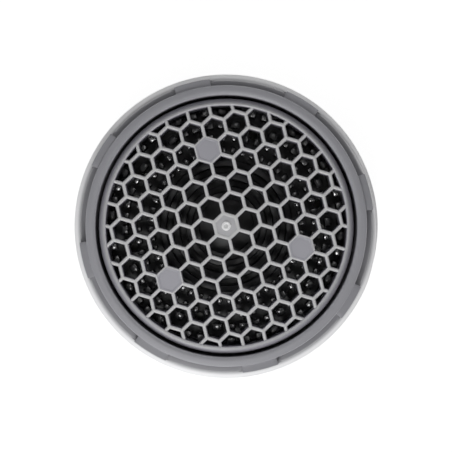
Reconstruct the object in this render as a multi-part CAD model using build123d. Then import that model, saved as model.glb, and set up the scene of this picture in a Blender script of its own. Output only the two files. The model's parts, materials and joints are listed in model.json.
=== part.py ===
from build123d import *
from math import ceil, hypot, radians, sqrt, tan
import os

# Concealed tap aerator, in millimetres. It stands on its inlet strainer, with the outlet face up.
# The axis is Z, and the middle of one tab of the sleeve lies on +X.

# Radial sizes, from the thread inwards
thread_diameter = 23.9
thread_height = 0.53
tab_depth = 0.56
lip_width = 0.74
air_gap = 0.24
rim_width = 0.55
chamber_step = 0.07
shoulder_width = 0.73
tail_wall = 0.42
fit = 0.05

# Stack of pieces along the axis, from the strainer's crown to the outlet lip
strainer_reach = 4.2
strainer_rim = 1.1
jet_flange = 0.6
regulator_thickness = 0.8
feed_gap = 1.2
plate_thickness = 0.9
pin_length = 1.9
mixing_gap = 0.62
honeycomb_depth = 2.8
honeycomb_recess = 0.08
insert_set_down = 0.4

# Sleeve
thread_setback = 2.2
thread_pitch = 1.0
thread_rings = 6
thread_crest = 0.13
thread_flank_angle = 30
lip_edge_radius = 0.18
tab_count = 8
tab_width = 2.8
tab_drop = 0.3
notch_depth = 1.85
snap_width = 0.25
snap_height = 0.4
key_count = 3
key_width = 1.6
key_height = 0.45

# Honeycomb insert
insert_flange = 0.7
rim_round = 0.42
cell_pitch = 1.746
cell_wall = 0.28
least_cell_area = 0.05
filled_cells = ((0, 0), (-2, 4), (-2, -2), (4, -2))
filled_cell_recess = 0.1
nub_diameter = 0.7
nub_hole_diameter = 0.32
nub_height = 0.22
window_count = 8
window_height = 1.2
window_sill = 0.3
window_width = 3.4
rib_width = 0.9
rib_length = 3.6

# Jet former
plug_wall = 0.75
regulator_ledge = 0.5
pins_per_ring = 48
ring_pitch = 1.02
pin_depth = 0.56
outer_pin_width = 0.72
inner_pin_width = 0.42
outer_pin_rings = 2
inner_pin_rings = 2
ridge_rings = 3
ridge_height = 1.2
nozzle_count = 24
nozzle_diameter = 0.7

# Flow regulator
o_ring_mean_diameter = 6.7
o_ring_section = 1.7
core_diameter = 4.6
flute_count = 8
flute_diameter = 1.0
collar_wall = 0.6
collar_height = 2.0
feed_slot_count = 8
feed_slot_width = 0.8

# Seal washer
seal_inset = 0.15
seal_width = 2.1
seal_thickness = 1.6

# Inlet strainer
strainer_wall = 0.7
strainer_skirt = 2.2
crown_diameter = 12.4
sieve_hub_diameter = 2.4
sieve_slot_width = 0.7
sieve_rib_width = 0.5
outer_sieve_rows = 3
inner_sieve_rows = 3
outer_sieve_ribs = 24
inner_sieve_ribs = 12

# Radii that follow from the sizes above
thread_radius = thread_diameter / 2
neck_radius = thread_radius - thread_height
lip_radius = neck_radius - tab_depth
bore_radius = lip_radius - lip_width
insert_radius = bore_radius - air_gap
opening_radius = insert_radius - rim_width
chamber_radius = opening_radius + chamber_step
pocket_radius = bore_radius + shoulder_width
tail_radius = pocket_radius + tail_wall
snap_radius = pocket_radius - snap_width
flange_radius = pocket_radius - fit
plug_radius = chamber_radius - fit
regulator_pocket_radius = plug_radius - plug_wall
cup_radius = regulator_pocket_radius - regulator_ledge
outer_pin_radius = plug_radius - pin_depth / 2
seal_radius = tail_radius - seal_inset
seal_hole_radius = seal_radius - seal_width
skirt_radius = seal_hole_radius - fit
skirt_inner_radius = skirt_radius - strainer_wall

# Levels that follow from the stack
inlet_end = strainer_reach
strainer_seat = inlet_end + strainer_rim
jet_seat = strainer_seat + jet_flange
insert_seat = jet_seat + insert_flange
regulator_seat = strainer_seat + regulator_thickness
plate_bottom = regulator_seat + feed_gap
plate_top = plate_bottom + plate_thickness
pin_tip = plate_top + pin_length
honeycomb_bottom = pin_tip + mixing_gap
honeycomb_top = honeycomb_bottom + honeycomb_depth
insert_top = honeycomb_top + honeycomb_recess
lip_top = insert_top + insert_set_down
thread_top = lip_top - thread_setback
thread_bottom = thread_top - thread_rings * thread_pitch
seal_bottom = inlet_end - seal_thickness


def turned(*points):
    """A solid of revolution about Z from (radius, level) points."""
    return revolve(Plane.XZ * make_face(Polyline(*points, close=True)), Axis.Z)


def raised(outline, bottom, top):
    """A flat outline drawn up from one level to another."""
    return Pos(0, 0, bottom) * extrude(outline, top - bottom)


def annulus(outer, inner):
    return Circle(outer) - Circle(inner)


def around(count, radius, shape, first_angle=0):
    """Copies of a shape at even angles on a circle, each turned to face outwards."""
    step = 360 / count
    return [Rot(0, 0, first_angle + step * n) * Pos(radius, 0, 0) * shape for n in range(count)]


def circles_at(solid, level):
    """The round edges of a solid that lie flat at one level."""
    return solid.edges().filter_by(GeomType.CIRCLE).filter_by_position(Axis.Z, level, level)


def flange_key_slots(bottom, top):
    """Slots in a flange's edge that the sleeve's keys run in."""
    slot = Rectangle(2 * (key_height + fit), key_width + 2 * fit)
    return raised(Sketch() + around(key_count, pocket_radius, slot), bottom, top)


def thread_section():
    """Section points of the thread, which is drawn as one ring for each turn."""
    flank_rise = thread_height * tan(radians(thread_flank_angle))
    points = []
    for number in range(thread_rings):
        middle = thread_top - (number + 0.5) * thread_pitch
        points += [
            (neck_radius, middle + thread_crest / 2 + flank_rise),
            (thread_radius, middle + thread_crest / 2),
            (thread_radius, middle - thread_crest / 2),
            (neck_radius, middle - thread_crest / 2 - flank_rise),
        ]
    return points


def threaded_sleeve():
    body = turned(
        (bore_radius, lip_top),
        (lip_radius, lip_top),
        (lip_radius, lip_top - tab_drop),
        (neck_radius, lip_top - tab_drop),
        *thread_section(),
        (neck_radius, thread_bottom),
        (tail_radius, thread_bottom),
        (tail_radius, inlet_end),
        (snap_radius, inlet_end),
        (snap_radius, inlet_end + snap_height),
        (pocket_radius, inlet_end + snap_height),
        (pocket_radius, insert_seat),
        (bore_radius, insert_seat),
    )
    tab = Rectangle(2 * lip_radius, tab_width)
    notches = annulus(thread_radius, lip_radius) - around(tab_count, lip_radius, tab)
    body -= raised(notches, lip_top - notch_depth, lip_top)
    body = fillet(circles_at(body, lip_top), lip_edge_radius)
    key = Rectangle(2 * key_height, key_width)
    keys = Circle(pocket_radius + tail_wall / 2) & (Sketch() + around(key_count, pocket_radius, key))
    return body + raised(keys, strainer_seat, insert_seat)


def cell_centre(i, j):
    return cell_pitch * (i + j / 2), cell_pitch * j * sqrt(3) / 2


def cell_shape(i, j):
    return Pos(*cell_centre(i, j)) * RegularPolygon((cell_pitch - cell_wall) / 2, 6, False, rotation=30)


def honeycomb_openings():
    """Every open cell, cut off at the round outlet, without the thinnest slivers."""
    span = ceil(2 * opening_radius / cell_pitch)
    spots = [(i, j) for i in range(-span, span + 1) for j in range(-span, span + 1)]
    near = [spot for spot in spots if hypot(*cell_centre(*spot)) < opening_radius + cell_pitch / 2]
    cells = [cell_shape(*spot) & Circle(opening_radius) for spot in near if spot not in filled_cells]
    return [cell for cell in cells if cell and cell.area > least_cell_area]


def honeycomb_web():
    """The outlet's cell walls, with the filled cells a little sunk and a moulding nub in the middle one."""
    outline = Circle(opening_radius + rim_width / 2) - honeycomb_openings()
    fill_top = honeycomb_top - filled_cell_recess
    dishes = Sketch() + [cell_shape(*spot) for spot in filled_cells]
    nub = annulus(nub_diameter / 2, nub_hole_diameter / 2)
    web = raised(outline, honeycomb_bottom, honeycomb_top) - raised(dishes, fill_top, honeycomb_top)
    return web + raised(nub, fill_top, fill_top + nub_height)


def honeycomb_insert():
    body = turned(
        (opening_radius, insert_top),
        (insert_radius, insert_top),
        (insert_radius, insert_seat),
        (flange_radius, insert_seat),
        (flange_radius, jet_seat),
        (chamber_radius, jet_seat),
        (chamber_radius, honeycomb_bottom),
        (opening_radius, honeycomb_bottom),
    )
    body = fillet(circles_at(body, insert_top).sort_by(SortBy.RADIUS)[-1], rim_round)
    window = Rectangle(4 * rim_width, window_width)
    windows = Sketch() + around(window_count, insert_radius, window)
    sill = plate_top + window_sill
    body -= raised(windows, sill, sill + window_height)
    rib = Rectangle(2 * (air_gap - fit), rib_width)
    ribs = Sketch() + around(window_count, insert_radius, rib, 180 / window_count)
    body += raised(ribs, insert_seat, insert_seat + rib_length)
    body -= flange_key_slots(jet_seat, insert_seat)
    return body + honeycomb_web()


def pin_ring_radius(ring_number):
    """Rings are counted inwards from the rim of the plug."""
    return outer_pin_radius - ring_number * ring_pitch


def jet_former():
    body = turned(
        (0, plate_top),
        (plug_radius, plate_top),
        (plug_radius, jet_seat),
        (flange_radius, jet_seat),
        (flange_radius, strainer_seat),
        (regulator_pocket_radius, strainer_seat),
        (regulator_pocket_radius, regulator_seat),
        (cup_radius, regulator_seat),
        (cup_radius, plate_bottom),
        (0, plate_bottom),
    )
    body -= flange_key_slots(strainer_seat, jet_seat)
    nozzle_radius = (pin_ring_radius(outer_pin_rings - 1) + pin_ring_radius(outer_pin_rings)) / 2
    nozzles = Sketch() + around(nozzle_count, nozzle_radius, Circle(nozzle_diameter / 2))
    body -= raised(nozzles, plate_bottom, plate_top)
    pin_rings = outer_pin_rings + inner_pin_rings
    ridges = Sketch() + Circle(pin_ring_radius(pin_rings + ridge_rings) + pin_depth / 2)
    for number in range(pin_rings, pin_rings + ridge_rings):
        middle = pin_ring_radius(number)
        ridges += annulus(middle + pin_depth / 2, middle - pin_depth / 2)
    body += raised(ridges, plate_top, plate_top + ridge_height)
    pins = Sketch()
    for number in range(pin_rings):
        width = outer_pin_width if number < outer_pin_rings else inner_pin_width
        pin = Rectangle(pin_depth, width)
        pins += around(pins_per_ring, pin_ring_radius(number), pin, 180 / pins_per_ring)
    return body + raised(pins, plate_top, pin_tip)


def regulator_disc():
    """A plate with a fluted core and a collar, which hold the rubber ring between them."""
    channel_radius = (o_ring_mean_diameter + o_ring_section) / 2 + fit
    slots = around(feed_slot_count, core_diameter / 2, Circle(feed_slot_width / 2))
    flutes = around(flute_count, core_diameter / 2, Circle(flute_diameter / 2))
    collar = annulus(channel_radius + collar_wall, channel_radius)
    core = Circle(core_diameter / 2) - flutes
    plate = raised(Circle(regulator_pocket_radius - fit) - slots, strainer_seat, regulator_seat)
    return plate + raised(collar + core, strainer_seat - collar_height, strainer_seat)


def regulator_o_ring():
    level = strainer_seat - o_ring_section / 2 - fit
    return Pos(0, 0, level) * Torus(o_ring_mean_diameter / 2, o_ring_section / 2)


def sieve_slots():
    """Rings of curved slots, with ribs between them that run out from the middle."""
    slots = Sketch()
    rows = outer_sieve_rows + inner_sieve_rows
    first_row = skirt_inner_radius - sieve_slot_width
    row_pitch = (first_row - (sieve_hub_diameter + sieve_slot_width) / 2) / (rows - 1)
    for row in range(rows):
        middle = first_row - row * row_pitch
        ribs = outer_sieve_ribs if row < outer_sieve_rows else inner_sieve_ribs
        bars = around(ribs, middle, Rectangle(2 * sieve_slot_width, sieve_rib_width))
        slots += annulus(middle + sieve_slot_width / 2, middle - sieve_slot_width / 2) - bars
    return slots


def inlet_strainer():
    crown_radius = crown_diameter / 2
    knee = inlet_end - strainer_skirt
    shell = turned(
        (0, 0),
        (crown_radius, 0),
        (skirt_radius, knee),
        (skirt_radius, inlet_end),
        (snap_radius - fit, inlet_end),
        (snap_radius - fit, inlet_end + snap_height),
        (flange_radius, inlet_end + snap_height),
        (flange_radius, strainer_seat),
        (skirt_inner_radius, strainer_seat),
        (skirt_inner_radius, knee + strainer_wall / 2),
        (crown_radius - strainer_wall / 2, strainer_wall),
        (0, strainer_wall),
    )
    return shell - raised(sieve_slots(), 0, strainer_seat)


def seal_washer():
    return raised(annulus(seal_radius, seal_hole_radius), seal_bottom, inlet_end)


pieces = (
    threaded_sleeve,
    honeycomb_insert,
    jet_former,
    regulator_disc,
    regulator_o_ring,
    inlet_strainer,
    seal_washer,
)
os.makedirs("parts", exist_ok=True)
for piece in pieces:
    export_step(piece(), f"parts/{piece.__name__}.step")
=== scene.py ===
# %% [markdown]
# # A tap aerator, seen straight into its outlet
#
# The part is a small cartridge that screws inside the mouth of a tap. Its solids are already packed, and
# they come in as a fixed frame. This lesson models the three mouldings that show in the outlet again, with
# fine edges, a real thread and rounded cell walls. The other four pieces are right as they are. Every
# piece gets a plastic or rubber finish, and the whole is lit on a white table.

# %% Load the frame
import json
import math

import bmesh
import bpy
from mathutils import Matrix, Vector

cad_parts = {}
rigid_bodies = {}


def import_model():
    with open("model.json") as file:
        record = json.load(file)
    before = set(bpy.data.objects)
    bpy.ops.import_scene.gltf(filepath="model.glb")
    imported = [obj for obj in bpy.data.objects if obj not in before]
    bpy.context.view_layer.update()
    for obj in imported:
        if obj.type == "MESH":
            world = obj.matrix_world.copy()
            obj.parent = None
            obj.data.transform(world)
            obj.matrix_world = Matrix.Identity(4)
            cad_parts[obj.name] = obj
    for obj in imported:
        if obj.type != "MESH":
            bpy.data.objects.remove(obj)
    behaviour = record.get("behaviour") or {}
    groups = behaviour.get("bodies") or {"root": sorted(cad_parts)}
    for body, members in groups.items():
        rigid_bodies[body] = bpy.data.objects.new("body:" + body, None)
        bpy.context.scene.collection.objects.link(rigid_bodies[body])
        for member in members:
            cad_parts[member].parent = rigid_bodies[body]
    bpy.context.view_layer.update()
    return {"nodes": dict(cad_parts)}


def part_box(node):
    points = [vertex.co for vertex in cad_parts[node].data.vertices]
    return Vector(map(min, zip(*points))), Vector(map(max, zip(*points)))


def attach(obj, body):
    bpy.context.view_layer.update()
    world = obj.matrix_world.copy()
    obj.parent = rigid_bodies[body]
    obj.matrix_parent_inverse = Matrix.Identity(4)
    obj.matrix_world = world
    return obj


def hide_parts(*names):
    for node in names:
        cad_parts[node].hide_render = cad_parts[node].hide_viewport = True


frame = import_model()
nodes = frame["nodes"]
bpy.ops.object.select_all(action="DESELECT")
print("nodes in the frame:", sorted(nodes))

# %% [markdown]
# ## Sizes
#
# Blender works in metres, but the pieces here are millimetres across, and tools such as bevel and boolean
# are surer on numbers near one. So each piece is modelled on a bench at one unit to the millimetre, and
# shrunk once when it is done. The outer sizes are read off the frame, and the rest are wall thicknesses,
# counted inwards from the thread.

# %% Sizes in millimetres
mm = 0.001


def box_mm(node):
    """The lowest and highest corner of a node, in millimetres."""
    return [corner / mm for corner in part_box(node)]


sleeve_low, sleeve_high = box_mm("threaded_sleeve")
insert_low, insert_high = box_mm("honeycomb_insert")
former_low, former_high = box_mm("jet_former")

thread_height = 0.53
tab_depth = 0.56
lip_width = 0.74
air_gap = 0.24
rim_width = 0.55
thread_radius = sleeve_high.x
neck_radius = thread_radius - thread_height
lip_radius = neck_radius - tab_depth
bore_radius = lip_radius - lip_width
insert_radius = bore_radius - air_gap
opening_radius = insert_radius - rim_width
lip_top = sleeve_high.z
inlet_end = sleeve_low.z
print(f"thread {2 * thread_radius:.2f} mm across, opening {2 * opening_radius:.2f} mm across")
print(f"lip {lip_top:.2f} mm above the floor")

# %% [markdown]
# ## Camera
#
# The photograph looks straight down the axis. How far the lens is away follows from how much smaller the
# deep rings look than the near ones, and the turn follows from where the tabs and cells point. The axis
# lies a part of a pixel off the middle of the picture, and a very small shift of the lens takes that up.

# %% Camera
photo_width = 452
pixels_per_mm_at_lip = 12.975
camera_distance = 150.0
photo_turn = -13.56
sensor_width = 36.0
shift_in_pixels = (-0.3, 0.05)
nearest_seen = 0.005

bpy.ops.object.camera_add(
    location=(0, 0, (lip_top + camera_distance) * mm),
    rotation=(0, 0, math.radians(photo_turn)),
)
camera = bpy.context.object
camera.data.sensor_width = sensor_width
camera.data.lens = pixels_per_mm_at_lip * camera_distance * sensor_width / photo_width
camera.data.clip_start = nearest_seen
camera.data.shift_x = shift_in_pixels[0] / photo_width
camera.data.shift_y = shift_in_pixels[1] / photo_width
bpy.context.scene.camera = camera
bpy.context.scene.view_settings.view_transform = "Standard"
print(f"lens {camera.data.lens:.1f} mm")

# %% [markdown]
# ## Floor
#
# A product picture on white needs a table that is white to the lens and still takes the object's shadow.
# More light would whiten the table, but it would bleach the object too. So the table's material tells the
# rays apart. To the camera, in reflections and through glass it glows white, and a weak matt layer on top
# of the glow holds the shadow. To all other light it is plain white paper.

# %% Table material
white_for_lens = 0.9
shadow_white = 0.3
paper_white = 0.85


def node_tree(name):
    """A new material and its node tree, emptied."""
    material = bpy.data.materials.new(name)
    material.use_nodes = True
    material.node_tree.nodes.clear()
    return material, material.node_tree


def matt_white(tree, level):
    shader = tree.nodes.new("ShaderNodeBsdfDiffuse")
    shader.inputs["Color"].default_value = (level, level, level, 1)
    return shader


def larger_of(tree, first, second):
    larger = tree.nodes.new("ShaderNodeMath")
    larger.operation = "MAXIMUM"
    tree.links.new(first, larger.inputs[0])
    tree.links.new(second, larger.inputs[1])
    return larger.outputs[0]


table_material, tree = node_tree("white_table")
output = tree.nodes.new("ShaderNodeOutputMaterial")
ray = tree.nodes.new("ShaderNodeLightPath").outputs
seen = larger_of(tree, ray["Is Camera Ray"], ray["Is Glossy Ray"])
seen = larger_of(tree, seen, ray["Is Transmission Ray"])
glow = tree.nodes.new("ShaderNodeEmission")
glow.inputs["Strength"].default_value = white_for_lens
bright = tree.nodes.new("ShaderNodeAddShader")
choice = tree.nodes.new("ShaderNodeMixShader")
tree.links.new(glow.outputs[0], bright.inputs[0])
tree.links.new(matt_white(tree, shadow_white).outputs[0], bright.inputs[1])
tree.links.new(seen, choice.inputs["Fac"])
tree.links.new(matt_white(tree, paper_white).outputs[0], choice.inputs[1])
tree.links.new(bright.outputs[0], choice.inputs[2])
tree.links.new(choice.outputs[0], output.inputs["Surface"])
print(f"{table_material.name}: {len(tree.nodes)} nodes")

# %% [markdown]
# The table itself is one large plane.

# %% Floor
table_size = 4

bpy.ops.mesh.primitive_plane_add(size=table_size)
floor = bpy.context.object
floor.name = "white_table"
floor.data.materials.append(table_material)
print(f"{floor.name}: {table_size} m square")

# %% [markdown]
# ## Light
#
# Most of the light comes from a tent, a world whose brightness depends only on how steeply a ray climbs.
# White walls and many lamps could build it, but one colour ramp is simpler and gives no seams. A broad
# bright ring stands low round the table and lights the slopes of the thread. The walls above it are dark,
# so flat tops stay grey. A narrow bright ring near the lens lights the flats evenly and makes the pins
# glint. Each pair below is a height, from 0 level with the table to 1 overhead, and the brightness there.

# %% Light tent
tent_rings = (
    (0.0, 0.5),
    (0.07, 0.9),
    (0.17, 2.5),
    (0.31, 0.5),
    (0.6, 0.02),
    (0.93, 0.05),
    (0.955, 2.2),
    (0.98, 0.13),
    (1.0, 0.13),
)

world = bpy.data.worlds.new("light_tent")
bpy.context.scene.world = world
world.use_nodes = True
tree = world.node_tree
direction = tree.nodes.new("ShaderNodeTexCoord")
climb = tree.nodes.new("ShaderNodeSeparateXYZ")
ramp = tree.nodes.new("ShaderNodeValToRGB")
stops = ramp.color_ramp.elements
for height, _ in tent_rings[1:-1]:
    stops.new(height)
for stop, (_, level) in zip(stops, tent_rings):
    stop.color = (level, level, level, 1)
tree.links.new(direction.outputs["Generated"], climb.inputs[0])
tree.links.new(climb.outputs["Z"], ramp.inputs["Fac"])
tree.links.new(ramp.outputs["Color"], tree.nodes["Background"].inputs["Color"])
print(f"light tent with {len(stops)} levels")

# %% [markdown]
# Three lamps give the tent a direction. A soft box stands high on the near side, which makes that side of
# the lip lighter than the far side. A small lamp by the lens reaches down through the cells, and the tips
# of the pins mirror it. A low lamp on the far side lifts the thread there. All three are square area
# lamps, because a bare point of light would draw hard shadows on parts this small. Their distances and
# sizes are in millimetres and their power is in watts.

# %% Lamps
key_side_in_picture = 255
key_bearing = photo_turn + key_side_in_picture
far_bearing = key_bearing - 180
aim = Vector((0, 0, lip_top * mm))


def soft_box(name, bearing, elevation, distance, size, power):
    """A square lamp that faces the lip from a bearing and a height in degrees, and a distance in mm."""
    turn = math.radians(bearing)
    lift = math.radians(elevation)
    way = Vector((math.cos(turn) * math.cos(lift), math.sin(turn) * math.cos(lift), math.sin(lift)))
    bpy.ops.object.light_add(type="AREA", location=aim + way * distance * mm)
    lamp = bpy.context.object
    lamp.name = name
    lamp.rotation_euler = way.to_track_quat("Z", "Y").to_euler()
    lamp.data.shape = "SQUARE"
    lamp.data.size = size * mm
    lamp.data.energy = power
    lamp.visible_camera = False
    return lamp


lamps = [
    soft_box("high_key", key_bearing, elevation=40, distance=90, size=40, power=0.037),
    soft_box("top_lamp", key_bearing, elevation=76, distance=140, size=20, power=0.0185),
    soft_box("low_fill", far_bearing, elevation=6, distance=120, size=36, power=0.0155),
]
print("lamps:", [lamp.name for lamp in lamps])

# %% [markdown]
# ## Bench tools
#
# Almost everything in a cartridge is turned or repeats round the axis, so a few helpers serve every piece.
# The first ones open a piece for editing and select its points, edges or faces by their place. That takes
# the part of the mouse in a script, and it still works after a size has changed, where a list of face
# numbers would not.

# %% Selecting by place
hair = 0.01
select_modes = {"verts": "VERT", "edges": "EDGE", "faces": "FACE"}


def edit(piece):
    bpy.ops.object.select_all(action="DESELECT")
    bpy.context.view_layer.objects.active = piece
    piece.select_set(True)
    bpy.ops.object.mode_set(mode="EDIT")


def leave_edit():
    """Turns all faces outwards and goes back to object mode."""
    bpy.ops.mesh.select_all(action="SELECT")
    bpy.ops.mesh.normals_make_consistent(inside=False)
    bpy.ops.object.mode_set(mode="OBJECT")


def pick(piece, kind, wanted):
    """Selects the verts, edges or faces whose middle passes a test, and returns how many there are."""
    bpy.ops.mesh.select_mode(type=select_modes[kind])
    bpy.ops.mesh.select_all(action="DESELECT")
    mesh = bmesh.from_edit_mesh(piece.data)
    count = 0
    for part in getattr(mesh, kind):
        corners = [part] if kind == "verts" else part.verts
        middle = sum((corner.co for corner in corners), Vector()) / len(corners)
        if wanted(middle, part):
            part.select_set(True)
            count += 1
    bmesh.update_edit_mesh(piece.data)
    return count


def is_open_edge(middle, edge):
    return edge.is_boundary


def radius_of(point):
    return math.hypot(point.x, point.y)


def near(a, b, tolerance=hair):
    return abs(a - b) < tolerance


# %% [markdown]
# A turned piece could be a curve with a screw modifier. Here it starts as a circle that is extruded from
# point to point of its section and scaled to each new radius. That gives clean rings of four-sided faces,
# which are easy to select afterwards.

# %% Turning
turning_segments = 200


def turned(name, section, joined_ends=True):
    """A ring drawn by extruding a circle along the (radius, level) points of its section."""
    radius, level = section[0]
    bpy.ops.object.select_all(action="DESELECT")
    bpy.ops.mesh.primitive_circle_add(vertices=turning_segments, radius=radius, location=(0, 0, level))
    piece = bpy.context.object
    piece.name = name
    bpy.ops.object.transform_apply(location=True, rotation=False, scale=False)
    edit(piece)
    bpy.ops.mesh.select_all(action="SELECT")
    for next_radius, next_level in section[1:]:
        bpy.ops.mesh.extrude_region_move(TRANSFORM_OT_translate={"value": (0, 0, next_level - level)})
        growth = next_radius / radius
        bpy.ops.transform.resize(value=(growth, growth, 1), center_override=(0, 0, 0))
        radius, level = next_radius, next_level
    pick(piece, "edges", is_open_edge)
    if joined_ends:
        bpy.ops.mesh.bridge_edge_loops()
    else:
        bpy.ops.mesh.fill_holes(sides=0)
    leave_edit()
    return piece


def arc(centre, radius, first, last, steps):
    """Points of a round corner in a section, from one angle to another in degrees."""
    angles = [math.radians(first + (last - first) * step / steps) for step in range(steps + 1)]
    return [(centre[0] + radius * math.cos(a), centre[1] + radius * math.sin(a)) for a in angles]


def quarter_turn(steps):
    """Angles from nothing to a right angle in even steps."""
    return [math.radians(90 * step / steps) for step in range(steps + 1)]


# %% [markdown]
# What repeats is modelled once, copied with a mesh of its own, turned to its place and joined. Windows,
# nozzles and the round edge of the grid are cut by closed shapes with a boolean modifier.

# %% Copies, blocks and cuts
def copy_of(piece):
    twin = piece.copy()
    twin.data = piece.data.copy()
    bpy.context.collection.objects.link(twin)
    return twin


def joined(name, pieces):
    bpy.ops.object.select_all(action="DESELECT")
    for piece in pieces:
        piece.select_set(True)
    bpy.context.view_layer.objects.active = pieces[0]
    bpy.ops.object.join()
    pieces[0].name = name
    return pieces[0]


def around(name, piece, count, first_angle=0.0):
    """Turns copies of a piece to even angles about the axis and joins them."""
    copies = [piece] + [copy_of(piece) for _ in range(count - 1)]
    for number, twin in enumerate(copies):
        twin.rotation_euler.z = math.radians(first_angle + 360 / count * number)
    ring = joined(name, copies)
    bpy.ops.object.transform_apply(location=False, rotation=True, scale=False)
    return ring


def block(name, size, centre):
    bpy.ops.object.select_all(action="DESELECT")
    bpy.ops.mesh.primitive_cube_add(size=1, location=centre, scale=size)
    piece = bpy.context.object
    piece.name = name
    bpy.ops.object.transform_apply(location=True, rotation=True, scale=True)
    return piece


def boolean(piece, other, operation):
    """Cuts, joins or trims a piece by another closed shape, which is used up."""
    modifier = piece.modifiers.new(operation.lower(), "BOOLEAN")
    modifier.operation = operation
    modifier.solver = "EXACT"
    modifier.object = other
    bpy.context.view_layer.objects.active = piece
    bpy.ops.object.modifier_apply(modifier=modifier.name)
    bpy.data.objects.remove(other)


# %% [markdown]
# A finished moulding is shrunk to metres, shaded smooth wherever two faces meet at a low angle, and put in
# the place of its solid. Its object stays at the origin, as the solid's does.

# %% Into the frame
def set_in_frame(piece, node, smooth_angle=35):
    """Shrinks a bench model to metres and puts it in the place of its solid."""
    bpy.ops.object.select_all(action="DESELECT")
    bpy.context.view_layer.objects.active = piece
    piece.select_set(True)
    piece.scale = (mm, mm, mm)
    bpy.ops.object.transform_apply(location=True, rotation=True, scale=True)
    bpy.ops.object.shade_smooth_by_angle(angle=math.radians(smooth_angle))
    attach(piece, "root")
    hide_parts(node)
    print(f"{piece.name}: {len(piece.data.polygons)} faces")


# %% [markdown]
# ## Threaded sleeve
#
# The sleeve is the outer moulding: a round lip, eight low tabs that a key grips, and below them the
# thread that screws into the spout. The tabs could be blocks set against the lip, but blocks that only
# touch leave seams. So the body is turned with a plain ledge where the notches are, and the tabs are then
# pulled up out of that ledge, which keeps every wall in one skin.
#
# The section starts at the lip. An oval round leads out of the bore, the top then falls slightly outwards,
# and a small round ends it.

# %% Section of the lip
inner_round = (0.3, 0.22)
inner_round_steps = 6
flat_width = 0.03
slope_angle = 9
slope_points = ((0.0, 0.0), (0.07, 0.07), (0.14, 0.3))
outer_round = 0.1
outer_round_steps = 4

slope_start = bore_radius + inner_round[0] + flat_width
slope_end = lip_radius - outer_round
slope_drop = (slope_end - slope_start) * math.tan(math.radians(slope_angle))
round_centre = (slope_end, lip_top - slope_drop - outer_round)
lip_section = [
    (bore_radius + inner_round[0] * (1 - math.cos(a)), lip_top - inner_round[1] * (1 - math.sin(a)))
    for a in quarter_turn(inner_round_steps)
]
lip_section += [(slope_start + along, lip_top - slope_drop * share) for along, share in slope_points]
lip_section += arc(round_centre, outer_round, first=90 - slope_angle, last=0, steps=outer_round_steps)
print(f"lip section: {len(lip_section)} points, falling {slope_drop:.3f} mm outwards")

# %% [markdown]
# From the lip the section steps down to the ledge and follows the core of the thread to the inlet end.
# Inside it comes back up past a small ledge that the strainer snaps behind, through a wide pocket, to the
# shoulder that the insert rests on.

# %% Sleeve body
tab_top = lip_top - 0.3
notch_floor = lip_top - 1.85
notch_rows = (0.0, 0.25, 0.45, 0.6, 0.75, 0.87, 1.0)
thread_top = lip_top - 2.2
thread_bottom = inlet_end + 1.6
core_radius = neck_radius - 0.03
core_cone = 0.1
tail_radius = neck_radius - 0.15
pocket_radius = bore_radius + 0.73
snap_radius = pocket_radius - 0.25
snap_height = 0.4
insert_seat = insert_low.z + 0.7

ledge_section = [(lip_radius + share * tab_depth, notch_floor) for share in notch_rows]
outer_section = [
    (core_radius, thread_top - core_cone),
    (core_radius, thread_bottom + core_cone),
    (tail_radius, thread_bottom),
    (tail_radius, inlet_end),
]
inner_section = [
    (snap_radius, inlet_end),
    (snap_radius, inlet_end + snap_height),
    (pocket_radius, inlet_end + snap_height),
    (pocket_radius, insert_seat),
    (bore_radius, insert_seat),
]
sleeve = turned(
    "threaded_sleeve_moulding",
    lip_section + [(lip_radius, tab_top)] + ledge_section + outer_section + inner_section,
)
print(f"sleeve body: {len(sleeve.data.polygons)} faces")

# %% [markdown]
# Eight stretches of the ledge are extruded up to the height of the tabs. Where a tab lies against the lip,
# its new wall and the lip's wall fall together, so their points are merged and the buried faces deleted.
# The sleeve stays in edit mode for the next step.

# %% Tabs
tab_count = 8
tab_half_angle = 7.2


def from_tab_middle(point):
    """Degrees round the axis from the middle of the nearest tab."""
    spacing = 360 / tab_count
    bearing = math.degrees(math.atan2(point.y, point.x))
    return abs((bearing + spacing / 2) % spacing - spacing / 2)


def on_tab(point):
    return from_tab_middle(point) < tab_half_angle


def is_tab_foot(middle, face):
    return near(middle.z, notch_floor) and radius_of(middle) < neck_radius and on_tab(middle)


def is_buried(middle, face):
    at_lip = near(radius_of(middle), lip_radius, tolerance=2 * hair)
    return at_lip and notch_floor < middle.z < tab_top and on_tab(middle)


edit(sleeve)
feet = pick(sleeve, "faces", is_tab_foot)
bpy.ops.mesh.extrude_region_move(TRANSFORM_OT_translate={"value": (0, 0, tab_top - notch_floor)})
bpy.ops.mesh.select_all(action="SELECT")
bpy.ops.mesh.remove_doubles(threshold=0.001)
buried = pick(sleeve, "faces", is_buried)
bpy.ops.mesh.delete(type="FACE")
print(f"{tab_count} tabs pulled up from {feet} faces, {buried} buried faces deleted")

# %% [markdown]
# A bevel softens the edges of the tabs, wherever two walls meet at a clear angle. The floors of the notches
# aren't level either: their shading shows that they fall outwards in a soft round. So the rows of points
# in each floor are lowered along a quarter of an oval, least by the lip and most by the thread.

# %% Soft tab edges and notch floors
tab_edge_round = 0.04
clear_angle = math.radians(40)
lip_slack = 0.05
bearing_slack = 0.05
notch_fall = 0.25


def is_corner(edge):
    return len(edge.link_faces) == 2 and edge.calc_face_angle() > clear_angle


def is_tab_edge(middle, edge):
    on_level = notch_floor - hair < middle.z < tab_top + hair
    return on_level and radius_of(middle) > lip_radius - lip_slack and is_corner(edge)


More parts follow.
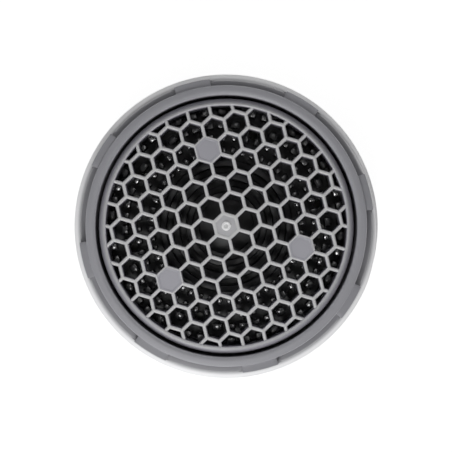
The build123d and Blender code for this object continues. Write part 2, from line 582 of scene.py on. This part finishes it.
def on_notch_floor(point):
    in_notch = lip_radius - hair < radius_of(point) < neck_radius + hair
    by_floor = near(point.z, notch_floor, tolerance=tab_edge_round + hair)
    return in_notch and by_floor and from_tab_middle(point) > tab_half_angle - bearing_slack


rounded_edges = pick(sleeve, "edges", is_tab_edge)
bpy.ops.mesh.bevel(offset=tab_edge_round, segments=2, affect="EDGES")
for corner in bmesh.from_edit_mesh(sleeve.data).verts:
    if on_notch_floor(corner.co):
        outwards = min(1.0, max(0.0, (radius_of(corner.co) - lip_radius) / tab_depth))
        corner.co.z -= notch_fall * (1 - math.sqrt(1 - outwards**2))
bmesh.update_edit_mesh(sleeve.data)
leave_edit()
print(f"rounded {rounded_edges} edges of the tabs, notch floors fall {notch_fall} mm")

# %% [markdown]
# The thread is one ridge that climbs round the sleeve. Plain rings would be easier, but from the side they
# look like ribs and not like a thread. So the section of the ridge is drawn once, from the four edges of a
# plane, and a screw modifier sweeps it up a helix, one pitch for each turn.

# %% Section of the thread
ridge_base = 0.74
ridge_crest = 0.13
ridge_root_radius = core_radius - 0.03
first_turn_level = thread_bottom + 0.5

bpy.ops.object.select_all(action="DESELECT")
bpy.ops.mesh.primitive_plane_add(size=1)
ridge = bpy.context.object
ridge.name = "thread_ridge"
edit(ridge)
bpy.ops.mesh.select_all(action="SELECT")
bpy.ops.mesh.delete(type="ONLY_FACE")
for corner in bmesh.from_edit_mesh(ridge.data).verts:
    at_crest = corner.co.x > 0
    radius = thread_radius if at_crest else ridge_root_radius
    half_width = (ridge_crest if at_crest else ridge_base) / 2
    corner.co = (radius, 0, first_turn_level + math.copysign(half_width, corner.co.y))
bmesh.update_edit_mesh(ridge.data)
bpy.ops.object.mode_set(mode="OBJECT")
print(f"thread section: {len(ridge.data.edges)} edges")

# %% [markdown]
# The sweep takes as many steps in each turn as the sleeve has sides, so both look equally round.

# %% Helix
thread_pitch = 1.0
thread_turns = 5.1

helix = ridge.modifiers.new("helix", "SCREW")
helix.axis = "Z"
helix.angle = math.tau * thread_turns
helix.screw_offset = thread_pitch * thread_turns
helix.steps = round(turning_segments * thread_turns)
helix.render_steps = helix.steps
bpy.context.view_layer.objects.active = ridge
bpy.ops.object.modifier_apply(modifier=helix.name)
print(f"thread: {thread_turns} turns, {len(ridge.data.polygons)} faces")

# %% [markdown]
# Both ends of a moulded thread run out, so here they sink into the sleeve over a fifth of a turn. The top
# turn is also trimmed to a cone, which helps the thread to find its way into the spout.

# %% Run-outs
run_out = 0.2
least_rise = 0.02


def turns_along(point):
    """How many turns up the helix a point of the ridge is."""
    part_turn = (math.atan2(point.y, point.x) / math.tau) % 1
    return round((point.z - first_turn_level) / thread_pitch - part_turn) + part_turn


def run_out_radius(point):
    """The radius of a point of the ridge after the cone and the run-outs."""
    along = turns_along(point)
    from_start = max(least_rise, along / run_out)
    from_end = max(least_rise, (thread_turns - along) / run_out)
    rise = min(1.0, from_start, from_end)
    cone_radius = neck_radius + max(0.0, thread_top - point.z)
    trimmed = min(radius_of(point), cone_radius)
    return ridge_root_radius + (trimmed - ridge_root_radius) * rise


edit(ridge)
for corner in bmesh.from_edit_mesh(ridge.data).verts:
    scale = run_out_radius(corner.co) / radius_of(corner.co)
    corner.co.x *= scale
    corner.co.y *= scale
bmesh.update_edit_mesh(ridge.data)
open_ends = pick(ridge, "edges", is_open_edge)
bpy.ops.mesh.fill_holes(sides=0)
leave_edit()
print(f"closed the thread's ends over {open_ends} edges")

# %% [markdown]
# Inside the sleeve, under the shoulder that the insert rests on, three short keys stop the insert from
# turning. One key is made and copied round, and the body, the thread and the keys are joined.

# %% Keys, and the whole sleeve
key_count = 3
key_size = (0.7, 1.6, 1.3)
key_radius = pocket_radius - 0.1

key = block("key", key_size, (key_radius, 0, insert_seat - key_size[2] / 2))
keys = around("keys", key, key_count)
sleeve = joined("threaded_sleeve_moulding", [sleeve, ridge, keys])
set_in_frame(sleeve, "threaded_sleeve")

# %% [markdown]
# ## Honeycomb insert
#
# The outlet is a round grid of six-sided cells. It could be a plate with a hundred holes cut by booleans,
# but the soft round on every wall would then be hard to add. So one cell is modelled from a hexagon: an
# inset makes half of the wall's flat top, a few small steps round its edge, and an extrusion draws the wall
# down.

# %% Hexagon with a rounded edge
cell_pitch = 1.746
cell_wall = 0.28
wall_round = 0.125
round_steps = 4
honeycomb_depth = 2.8
honeycomb_top = insert_high.z - 0.08
honeycomb_bottom = honeycomb_top - honeycomb_depth
hexagon_radius = cell_pitch / math.sqrt(3)


def hexagon(name, level):
    bpy.ops.object.select_all(action="DESELECT")
    bpy.ops.mesh.primitive_circle_add(
        vertices=6, radius=hexagon_radius, fill_type="NGON", location=(0, 0, level)
    )
    piece = bpy.context.object
    piece.name = name
    bpy.ops.object.transform_apply(location=True, rotation=False, scale=False)
    return piece


def round_into_cell(radius, depth):
    """Steps the selected face in and down round a quarter of a circle, as far as a depth."""
    turn = quarter_turn(round_steps)
    for before, after in zip(turn, turn[1:]):
        inwards = radius * (math.sin(after) - math.sin(before))
        down = depth * (math.cos(before) - math.cos(after))
        bpy.ops.mesh.inset(thickness=inwards, depth=-down)


print(f"cells {cell_pitch} mm apart with walls {cell_wall} mm thick")

# %% [markdown]
# An open cell is a wall round a hole, and its lower edge is spread out again to half the thickness of the
# wall. A filled cell has a shallow dish in place of the hole, and a second hexagon as its underside.


# %% Open and filled cells
def open_cell():
    cell = hexagon("open_cell", honeycomb_top)
    edit(cell)
    bpy.ops.mesh.select_all(action="SELECT")
    bpy.ops.mesh.inset(thickness=cell_wall / 2 - wall_round)
    round_into_cell(wall_round, wall_round)
    bpy.ops.mesh.extrude_region_move(
        TRANSFORM_OT_translate={"value": (0, 0, wall_round - honeycomb_depth)}
    )
    bpy.ops.mesh.delete(type="FACE")
    pick(cell, "edges", lambda middle, edge: near(middle.z, honeycomb_bottom))
    bpy.ops.mesh.extrude_region_move()
    spread = cell_pitch / (cell_pitch - cell_wall)
    bpy.ops.transform.resize(value=(spread, spread, 1), center_override=(0, 0, 0))
    bpy.ops.object.mode_set(mode="OBJECT")
    return cell


def filled_cell(recess):
    cell = hexagon("filled_cell", honeycomb_top)
    edit(cell)
    bpy.ops.mesh.select_all(action="SELECT")
    if recess:
        bpy.ops.mesh.inset(thickness=cell_wall / 2 - wall_round)
        round_into_cell(wall_round, recess)
    bpy.ops.object.mode_set(mode="OBJECT")
    return joined("filled_cell", [cell, hexagon("cell_underside", honeycomb_bottom)])


# %% [markdown]
# Copies of the cells are set side by side in rows, each row half a cell on from the last. Four cells are
# filled, the one in the middle among them, and those that lie outside the opening are closed.

# %% The grid
filled_spots = ((0, 0), (-2, 4), (-2, -2), (4, -2))
filled_recess = 0.04
middle_recess = 0.05
closed_beyond = opening_radius + 0.5
grid_reach = opening_radius + 1.5 * cell_pitch
span = math.ceil(2 * opening_radius / cell_pitch)


def cell_centre(i, j):
    return cell_pitch * (i + j / 2), cell_pitch * j * math.sqrt(3) / 2


def kind_of_cell(spot, distance):
    if spot == filled_spots[0]:
        return "middle"
    if spot in filled_spots:
        return "filled"
    return "closed" if distance > closed_beyond else "open"


patterns = {
    "open": open_cell(),
    "filled": filled_cell(filled_recess),
    "middle": filled_cell(middle_recess),
    "closed": filled_cell(0),
}
grid = []
for i in range(-span, span + 1):
    for j in range(-span, span + 1):
        x, y = cell_centre(i, j)
        distance = math.hypot(x, y)
        if distance > grid_reach:
            continue
        cell = copy_of(patterns[kind_of_cell((i, j), distance)])
        cell.location = (x, y, 0)
        grid.append(cell)
for pattern in patterns.values():
    bpy.data.objects.remove(pattern)
print(f"{len(grid)} cells set out")

# %% [markdown]
# The copies are joined, the edges that meet are merged, and the open outer edge is bridged from top to
# bottom. That makes the web a closed shape, which a boolean can cut to a round plate.

# %% One web, cut round
bpy.ops.object.select_all(action="DESELECT")
bpy.context.view_layer.objects.active = grid[0]
grid[0].select_set(True)
bpy.ops.object.transform_apply(location=True, rotation=False, scale=False)
web = joined("honeycomb_web", grid)
edit(web)
bpy.ops.mesh.select_all(action="SELECT")
bpy.ops.mesh.remove_doubles(threshold=0.005)
pick(web, "edges", is_open_edge)
bpy.ops.mesh.bridge_edge_loops()
leave_edit()

bpy.ops.object.select_all(action="DESELECT")
bpy.ops.mesh.primitive_cylinder_add(
    vertices=turning_segments,
    radius=opening_radius + rim_width / 2,
    depth=2 * honeycomb_depth,
    location=(0, 0, honeycomb_top - honeycomb_depth / 2),
)
round_cutter = bpy.context.object
boolean(web, round_cutter, "INTERSECT")
print(f"honeycomb web: {len(web.data.polygons)} faces after the round cut")

# %% [markdown]
# The rim round the grid has a small round at the opening and a full one on its outer edge, where it drops
# into the air gap. A bevelled tube could pass for it, but a turned section holds both rounds and also the
# flange below that rests in the sleeve. Eight windows let the air through to the chamber. They are cut
# before the grid is joined in, so the cut has fewer faces to sort.

# %% Rim and windows
rim_round = 0.42
rim_drop = 0.62
rim_round_steps = 8
rim_inner_round = 0.12
rim_inner_steps = 3
chamber_radius = opening_radius + 0.07
flange_radius = insert_high.x
insert_top = insert_high.z
jet_seat = insert_low.z
window_count = 8
window_size = (2.2, 3.4, 1.2)
window_level = 8.5

inner_centre = (opening_radius + rim_inner_round, insert_top - rim_inner_round)
rim_section = [(opening_radius, honeycomb_bottom)]
rim_section += arc(inner_centre, rim_inner_round, first=180, last=90, steps=rim_inner_steps)
rim_section += [
    (insert_radius - rim_round * (1 - math.sin(a)), insert_top - rim_drop * (1 - math.cos(a)))
    for a in quarter_turn(rim_round_steps)
]
rim_section += [
    (insert_radius, insert_seat),
    (flange_radius, insert_seat),
    (flange_radius, jet_seat),
    (chamber_radius, jet_seat),
    (chamber_radius, honeycomb_bottom),
]
rim = turned("honeycomb_rim", rim_section)
window = block("window", window_size, (insert_radius, 0, window_level + window_size[2] / 2))
boolean(rim, around("windows", window, window_count), "DIFFERENCE")
boolean(rim, web, "UNION")
print(f"rim, {window_count} windows and grid: {len(rim.data.polygons)} faces")

# %% [markdown]
# Eight ribs keep the air gap even. The small ring in the middle cell is the nub where the plastic was let
# into the mould: it is turned too, with a dimple in its top, and stands on the dish of that cell.

# %% Ribs, nub, and the whole insert
rib_size = (0.38, 0.9, 3.6)
nub_radius = 0.35
nub_hole_radius = 0.15
nub_height = 0.12
nub_dimple = 0.075
nub_edge = 0.08
nub_foot_spread = 0.04
nub_foot_sunk = 0.05
nub_top = honeycomb_top + nub_height
nub_foot = honeycomb_top - middle_recess - nub_foot_sunk

rib = block("rib", rib_size, (insert_radius, 0, insert_seat + rib_size[2] / 2))
ribs = around("ribs", rib, window_count, 180 / window_count)
nub_level = nub_top - nub_edge
nub_section = [(nub_hole_radius, nub_top - nub_dimple)]
nub_section += arc((nub_hole_radius + nub_edge, nub_level), nub_edge, first=150, last=90, steps=2)
nub_section += arc((nub_radius - nub_edge, nub_level), nub_edge, first=90, last=0, steps=3)
nub_section += [(nub_radius + nub_foot_spread, nub_foot)]
nub = turned("nub", nub_section, joined_ends=False)
insert = joined("honeycomb_moulding", [rim, ribs, nub])
set_in_frame(insert, "honeycomb_insert")

# %% [markdown]
# ## Jet former
#
# Behind the honeycomb sits a black moulding. Four rings of small pins break the water up, and plain round
# ridges fill the middle. It could be cut from one block, but a turned body with the pins joined on has
# far fewer faces. The body is a cup with a plate on top.

# %% Body of the jet former
strainer_seat = former_low.z
pin_tip = former_high.z
pin_length = 1.9
plate_top = pin_tip - pin_length
plate_thickness = 0.9
plug_radius = chamber_radius - 0.05
regulator_pocket_radius = plug_radius - 0.75
regulator_seat = strainer_seat + 0.8
cup_radius = regulator_pocket_radius - 0.5

former = turned(
    "jet_former_moulding",
    [
        (plug_radius, plate_top),
        (plug_radius, jet_seat),
        (flange_radius, jet_seat),
        (flange_radius, strainer_seat),
        (regulator_pocket_radius, strainer_seat),
        (regulator_pocket_radius, regulator_seat),
        (cup_radius, regulator_seat),
        (cup_radius, plate_top - plate_thickness),
    ],
    joined_ends=False,
)
print(f"jet former body: {len(former.data.polygons)} faces")

# %% [markdown]
# The water comes through a ring of nozzles in the plate, between the second and third ring of pins. One
# cylinder is copied round, and all the nozzles are cut at once.

# %% Nozzles
ring_pitch = 1.02
pin_depth = 0.56
nozzle_count = 24
nozzle_sides = 24
nozzle_radius = 0.35
nozzle_length = 3


def ring_radius(number):
    """The radius at the middle of a ring of pins or a ridge, counted inwards."""
    return plug_radius - pin_depth / 2 - number * ring_pitch


nozzle_ring = (ring_radius(1) + ring_radius(2)) / 2
bpy.ops.object.select_all(action="DESELECT")
bpy.ops.mesh.primitive_cylinder_add(
    vertices=nozzle_sides,
    radius=nozzle_radius,
    depth=nozzle_length,
    location=(nozzle_ring, 0, plate_top - plate_thickness / 2),
)
nozzle = bpy.context.object
bpy.ops.object.transform_apply(location=True, rotation=False, scale=False)
boolean(former, around("nozzles", nozzle, nozzle_count), "DIFFERENCE")
print(f"{nozzle_count} nozzles cut, {len(former.data.polygons)} faces")

# %% [markdown]
# One pin is a small bar with soft edges, and these edges are what glints between the cells. In every other
# ring the tips fall slightly outwards, so that neighbouring rings catch the light differently. An array
# modifier could repeat the pin, but it would need a helper object to turn about, and copies don't. There
# are nearly two hundred, so each has only a few dozen faces.

# %% Pins
pins_per_ring = 48
pin_widths = (0.72, 0.72, 0.42, 0.42)
pin_tip_falls = (0.0, 0.06, 0.0, 0.06)
pin_round = 0.06
sunk = 0.05


def pin(width, radius, tip_fall):
    """A bar on the X axis with its foot sunk in the plate and its outer top edge lowered."""

    def is_outer_tip(middle, edge):
        return near(middle.z, pin_tip) and middle.x > radius + pin_depth / 4

    size = (pin_depth, width, pin_length + sunk)
    piece = block("pin", size, (radius, 0, pin_tip - size[2] / 2))
    edit(piece)
    pick(piece, "edges", is_outer_tip)
    bpy.ops.transform.translate(value=(0, 0, -tip_fall))
    pick(piece, "edges", lambda middle, edge: middle.z > plate_top)
    bpy.ops.mesh.bevel(offset=pin_round, segments=2, affect="EDGES")
    leave_edit()
    return piece


pieces = [former]
for number, (width, tip_fall) in enumerate(zip(pin_widths, pin_tip_falls)):
    first_pin = pin(width, ring_radius(number), tip_fall)
    pieces.append(around("pin_ring", first_pin, pins_per_ring, 180 / pins_per_ring))
print(f"{len(pin_widths)} rings of {pins_per_ring} pins")

# %% [markdown]
# Inside the pins come three ridges and a boss, all turned, with rounded tops. They keep the pitch of the
# pins' rings.

# %% Ridges, boss, and the whole jet former
ridge_rings = 3
ridge_height = 1.2
ridge_round = 0.1
ridge_top = plate_top + ridge_height
round_level = ridge_top - ridge_round
ridge_foot = plate_top - sunk

for number in range(len(pin_widths), len(pin_widths) + ridge_rings):
    inside = ring_radius(number) - pin_depth / 2
    outside = ring_radius(number) + pin_depth / 2
    ridge_section = [(inside, ridge_foot), (inside, round_level)]
    ridge_section += arc((inside + ridge_round, round_level), ridge_round, first=150, last=90, steps=2)
    ridge_section += arc((outside - ridge_round, round_level), ridge_round, first=90, last=0, steps=3)
    ridge_section += [(outside, ridge_foot)]
    pieces.append(turned("ridge", ridge_section))
boss_radius = ring_radius(len(pin_widths) + ridge_rings) + pin_depth / 2
boss_section = [(boss_radius, ridge_foot)]
boss_section += arc((boss_radius - ridge_round, round_level), ridge_round, first=0, last=90, steps=3)
pieces.append(turned("boss", boss_section, joined_ends=False))
former = joined("jet_former_moulding", pieces)
set_in_frame(former, "jet_former")

# %% [markdown]
# ## Finishes
#
# Moulded plastic is never one flat colour. Very fine grain from the mould's surface scatters the light,
# and the tone drifts a little as the melt cools. Both could be drawn in each material again, but they are
# the same effect at other scales, so they are one node group, placed in each material with its own values.

# %% Moulded grain group
noise_details = {"Grain": 3.0, "Drift": 2.0}

grain = bpy.data.node_groups.new("moulded_grain", "ShaderNodeTree")
for effect in noise_details:
    grain.interface.new_socket(f"{effect} Scale", in_out="INPUT", socket_type="NodeSocketFloat")
    grain.interface.new_socket(effect, in_out="OUTPUT", socket_type="NodeSocketFloat")
group_in = grain.nodes.new("NodeGroupInput")
group_out = grain.nodes.new("NodeGroupOutput")
place = grain.nodes.new("ShaderNodeTexCoord")
for effect, detail in noise_details.items():
    noise = grain.nodes.new("ShaderNodeTexNoise")
    noise.inputs["Detail"].default_value = detail
    grain.links.new(place.outputs["Object"], noise.inputs["Vector"])
    grain.links.new(group_in.outputs[f"{effect} Scale"], noise.inputs["Scale"])
    grain.links.new(noise.outputs["Fac"], group_out.inputs[effect])
print(f"{grain.name}: {len(grain.nodes)} nodes")

# %% [markdown]
# Every finish is a Principled shader. The drift blends two near tones into its colour, and the grain varies
# its roughness and feeds a fine bump. How strongly it reflects is the same all over, so that is set on the
# shader itself.

# %% Moulded material
grains_per_drift = 12
roughness_spread = 0.06
bump_strength = 0.5


def moulded(name, light, dark, roughness, grain_scale, bump_depth, specular=0.5, ior=1.5):
    """A plastic or rubber whose tone drifts between two colours and whose grain breaks up its gloss."""
    material, tree = node_tree(name)
    output = tree.nodes.new("ShaderNodeOutputMaterial")
    shader = tree.nodes.new("ShaderNodeBsdfPrincipled")
    shader.inputs["Specular IOR Level"].default_value = specular
    shader.inputs["IOR"].default_value = ior
    tree.links.new(shader.outputs[0], output.inputs["Surface"])
    skin = tree.nodes.new("ShaderNodeGroup")
    skin.node_tree = grain
    skin.inputs["Grain Scale"].default_value = grain_scale
    skin.inputs["Drift Scale"].default_value = grain_scale / grains_per_drift
    tone = tree.nodes.new("ShaderNodeMix")
    tone.data_type = "RGBA"
    tone.inputs["A"].default_value = (*dark, 1)
    tone.inputs["B"].default_value = (*light, 1)
    tree.links.new(skin.outputs["Drift"], tone.inputs["Factor"])
    tree.links.new(tone.outputs["Result"], shader.inputs["Base Color"])
    gloss = tree.nodes.new("ShaderNodeMapRange")
    gloss.inputs["To Min"].default_value = roughness - roughness_spread
    gloss.inputs["To Max"].default_value = roughness + roughness_spread
    tree.links.new(skin.outputs["Grain"], gloss.inputs["Value"])
    tree.links.new(gloss.outputs["Result"], shader.inputs["Roughness"])
    bump = tree.nodes.new("ShaderNodeBump")
    bump.inputs["Strength"].default_value = bump_strength
    bump.inputs["Distance"].default_value = bump_depth * mm
    tree.links.new(skin.outputs["Grain"], bump.inputs["Height"])
    tree.links.new(bump.outputs["Normal"], shader.inputs["Normal"])
    return material


# %% [markdown]
# Several surfaces are painted paler where the light catches them, as painted light: the lip, the thread's
# slopes, the edge of the notch floors, the rim, the tops of the cell walls and the nub. A mask could be
# drawn, but here the painted light follows height or radius so closely that a gradient does it: from one
# distance to another, measured up the axis or out from it, the colour passes to a paler one. Other changes
# follow whole faces, and those faces get the second material of their piece.

# %% Paler edges and second materials
up_axis = (0, 0, 1)
out_axes = (1, 1, 0)


def paler_beyond(material, axes, start, end, colour):
    """Lets a colour pass to a paler one between two distances, measured along the axes with a 1."""
    tree = material.node_tree
    shader = next(node for node in tree.nodes if node.type == "BSDF_PRINCIPLED")
    before = shader.inputs["Base Color"].links[0].from_socket
    place = tree.nodes.new("ShaderNodeTexCoord")
    along = tree.nodes.new("ShaderNodeVectorMath")
    along.operation = "MULTIPLY"
    along.inputs[1].default_value = axes
    distance = tree.nodes.new("ShaderNodeVectorMath")
    distance.operation = "LENGTH"
    share = tree.nodes.new("ShaderNodeMapRange")
    share.inputs["From Min"].default_value = start * mm
    share.inputs["From Max"].default_value = end * mm
    paler = tree.nodes.new("ShaderNodeMix")
    paler.data_type = "RGBA"
    paler.inputs["B"].default_value = (*colour, 1)
    tree.links.new(place.outputs["Object"], along.inputs[0])
    tree.links.new(along.outputs[0], distance.inputs[0])
    tree.links.new(distance.outputs["Value"], share.inputs["Value"])
    tree.links.new(share.outputs["Result"], paler.inputs["Factor"])
    tree.links.new(before, paler.inputs["A"])
    tree.links.new(paler.outputs["Result"], shader.inputs["Base Color"])


def paint(piece, *materials):
    piece.data.materials.clear()
    for material in materials:
        piece.data.materials.append(material)


def paint_second(piece, wanted):
    """Gives the faces that pass a test the second material, and returns how many there are."""
    edit(piece)
    count = pick(piece, "faces", wanted)
    piece.active_material_index = 1
    bpy.ops.object.material_slot_assign()
    leave_edit()
    return count


# %% [markdown]
# The sleeve is one satin grey. Its lip is painted a touch lighter than the tabs, and the thread is painted
# pale towards its crests, where the low light catches its slopes; both are painted light. The floors of the
# notches are painted darker as shade and are more matt, with a painted pale edge next to the thread where
# light reaches them, so they are a second material.

# %% Sleeve finish
satin = {"grain_scale": 4000, "bump_depth": 0.004}
sleeve_grey = ((0.291, 0.29, 0.311), (0.25, 0.249, 0.27))
# Painted light: the lip, which stands above the tabs, is painted a touch lighter than them.
lip_painted_light_grey = (0.311, 0.31, 0.334)
# Painted light: the thread is painted pale towards its crests, where its outward slopes catch the low light.
thread_painted_light_grey = (0.86, 0.86, 0.87)
# Painted shade: the notch floors between the tabs and the lip are painted darker.
notch_painted_shade_grey = ((0.212, 0.211, 0.226), (0.182, 0.181, 0.195))
# Painted light: the notch floors are painted paler at their outer edge by the thread, where light reaches
# in.
notch_edge_painted_light_grey = (0.42, 0.42, 0.43)
least_upward = 0.1

grey_plastic = moulded("grey_plastic", *sleeve_grey, roughness=0.42, **satin)
paler_beyond(grey_plastic, up_axis, start=tab_top + 0.05, end=tab_top + 0.15, colour=lip_painted_light_grey)
paler_beyond(grey_plastic, out_axes, start=neck_radius, end=neck_radius + 0.3, colour=thread_painted_light_grey)
notch_shade_plastic = moulded("notch_shade_plastic", *notch_painted_shade_grey, roughness=0.5, **satin)
paler_beyond(
    notch_shade_plastic, out_axes, start=neck_radius - 0.14, end=neck_radius + 0.05, colour=notch_edge_painted_light_grey
)


def is_notch_floor(middle, face):
    in_notch = lip_radius * mm < radius_of(middle) < neck_radius * mm
    by_floor = near(middle.z, notch_floor * mm, tolerance=notch_fall * mm)
    return in_notch and face.normal.z > least_upward and by_floor


paint(sleeve, grey_plastic, notch_shade_plastic)
darker = paint_second(sleeve, is_notch_floor)
print(f"{darker} faces of the notch floors are darker")

# %% [markdown]
# The insert is a lighter grey. The tops of its cell walls and the nub are painted pale as a highlight, where
# their rounds catch the light, and the rim's top a little. The three filled cells outside the middle are
# flat and get no painted highlight, so everything in the opening except them gets the highlight material.

# %% Insert finish
insert_grey = ((0.39, 0.386, 0.422), (0.345, 0.341, 0.378))
# Painted highlight: the rim's top is painted a little paler, where its round catches the light.
rim_painted_highlight_grey = (0.46, 0.46, 0.47)
# Painted highlight: the tops of the cell walls and the nub are painted pale, where their rounds catch the
# light.
wall_painted_highlight_grey = (0.585, 0.585, 0.585)
nub_painted_highlight_grey = (0.85, 0.85, 0.85)
filled_reach = 0.52 * cell_pitch
filled_centres = [Vector((*cell_centre(*spot), 0)) for spot in filled_spots[1:]]

light_grey_plastic = moulded("light_grey_plastic", *insert_grey, roughness=0.38, **satin)
paler_beyond(light_grey_plastic, up_axis, start=insert_top - 0.05, end=insert_top - 0.005, colour=rim_painted_highlight_grey)
wall_highlight_plastic = moulded("wall_highlight_plastic", *insert_grey, roughness=0.38, **satin)
paler_beyond(
    wall_highlight_plastic, up_axis, start=honeycomb_top - 0.09, end=honeycomb_top - 0.01, colour=wall_painted_highlight_grey
)
paler_beyond(
    wall_highlight_plastic, up_axis, start=honeycomb_top + 0.02, end=honeycomb_top + 0.09, colour=nub_painted_highlight_grey
)


def on_filled_cell(point):
    flat = Vector((point.x, point.y, 0)) / mm
    return any((flat - centre).length < filled_reach for centre in filled_centres)


# Painted highlight: every face in the opening except the three filled cells.
def is_painted_highlight(middle, face):
    in_opening = radius_of(middle) < opening_radius * mm
    above_bottom = middle.z > (honeycomb_bottom + hair) * mm
    return in_opening and above_bottom and not on_filled_cell(middle)


paint(insert, light_grey_plastic, wall_highlight_plastic)
highlighted = paint_second(insert, is_painted_highlight)
print(f"{highlighted} faces of the honeycomb are rubbed pale along their tops")

# %% [markdown]
# The jet former is black. Its plate and ridges are fairly dull, while the pins are polished, which is why
# they alone glint. The pins are also painted a touch lighter than the plate, as painted light. A higher
# index of refraction makes their reflections stronger without more light.

# %% Jet former finish
fine_gloss = {"grain_scale": 3000, "bump_depth": 0.003}
dull_black = ((0.07, 0.07, 0.074), (0.053, 0.053, 0.056))
# Painted light: the pins are painted a touch lighter than the plate and ridges.
pin_black_painted_lighter = ((0.08, 0.08, 0.084), (0.06, 0.06, 0.064))
pin_field = ring_radius(len(pin_widths) - 1) - pin_depth
pin_foot = plate_top + 0.05

black_plastic = moulded("black_plastic", *dull_black, roughness=0.36, **fine_gloss)
polished_black_plastic = moulded(
    "polished_black_plastic", *pin_black_painted_lighter, roughness=0.16, specular=1.0, ior=1.7, **fine_gloss
)


def is_pin(middle, face):
    return middle.z > pin_foot * mm and radius_of(middle) > pin_field * mm


paint(former, black_plastic, polished_black_plastic)
polished = paint_second(former, is_pin)
print(f"{polished} faces of the pins are polished")

# %% [markdown]
# The four remaining pieces could be modelled again too, but their solids already have the right shape and
# none of them shows in the outlet. So they only change their finish: satin white plastic for the
# regulator disc and the strainer, and matt black rubber for the regulator's ring and the seal washer.

# %% Finishes of the solids
off_white = ((0.74, 0.74, 0.71), (0.68, 0.68, 0.65))
rubber_black = ((0.028, 0.028, 0.028), (0.018, 0.018, 0.018))
matt_grain = {"grain_scale": 6000, "bump_depth": 0.006}

white_plastic = moulded("white_plastic", *off_white, roughness=0.45, **satin)
black_rubber = moulded("black_rubber", *rubber_black, roughness=0.6, **matt_grain)
solid_finishes = {
    "regulator_disc": white_plastic,
    "inlet_strainer": white_plastic,
    "regulator_o_ring": black_rubber,
    "seal_washer": black_rubber,
}
for name, material in solid_finishes.items():
    paint(nodes[name], material)
print("solids with a new finish:", sorted(solid_finishes))
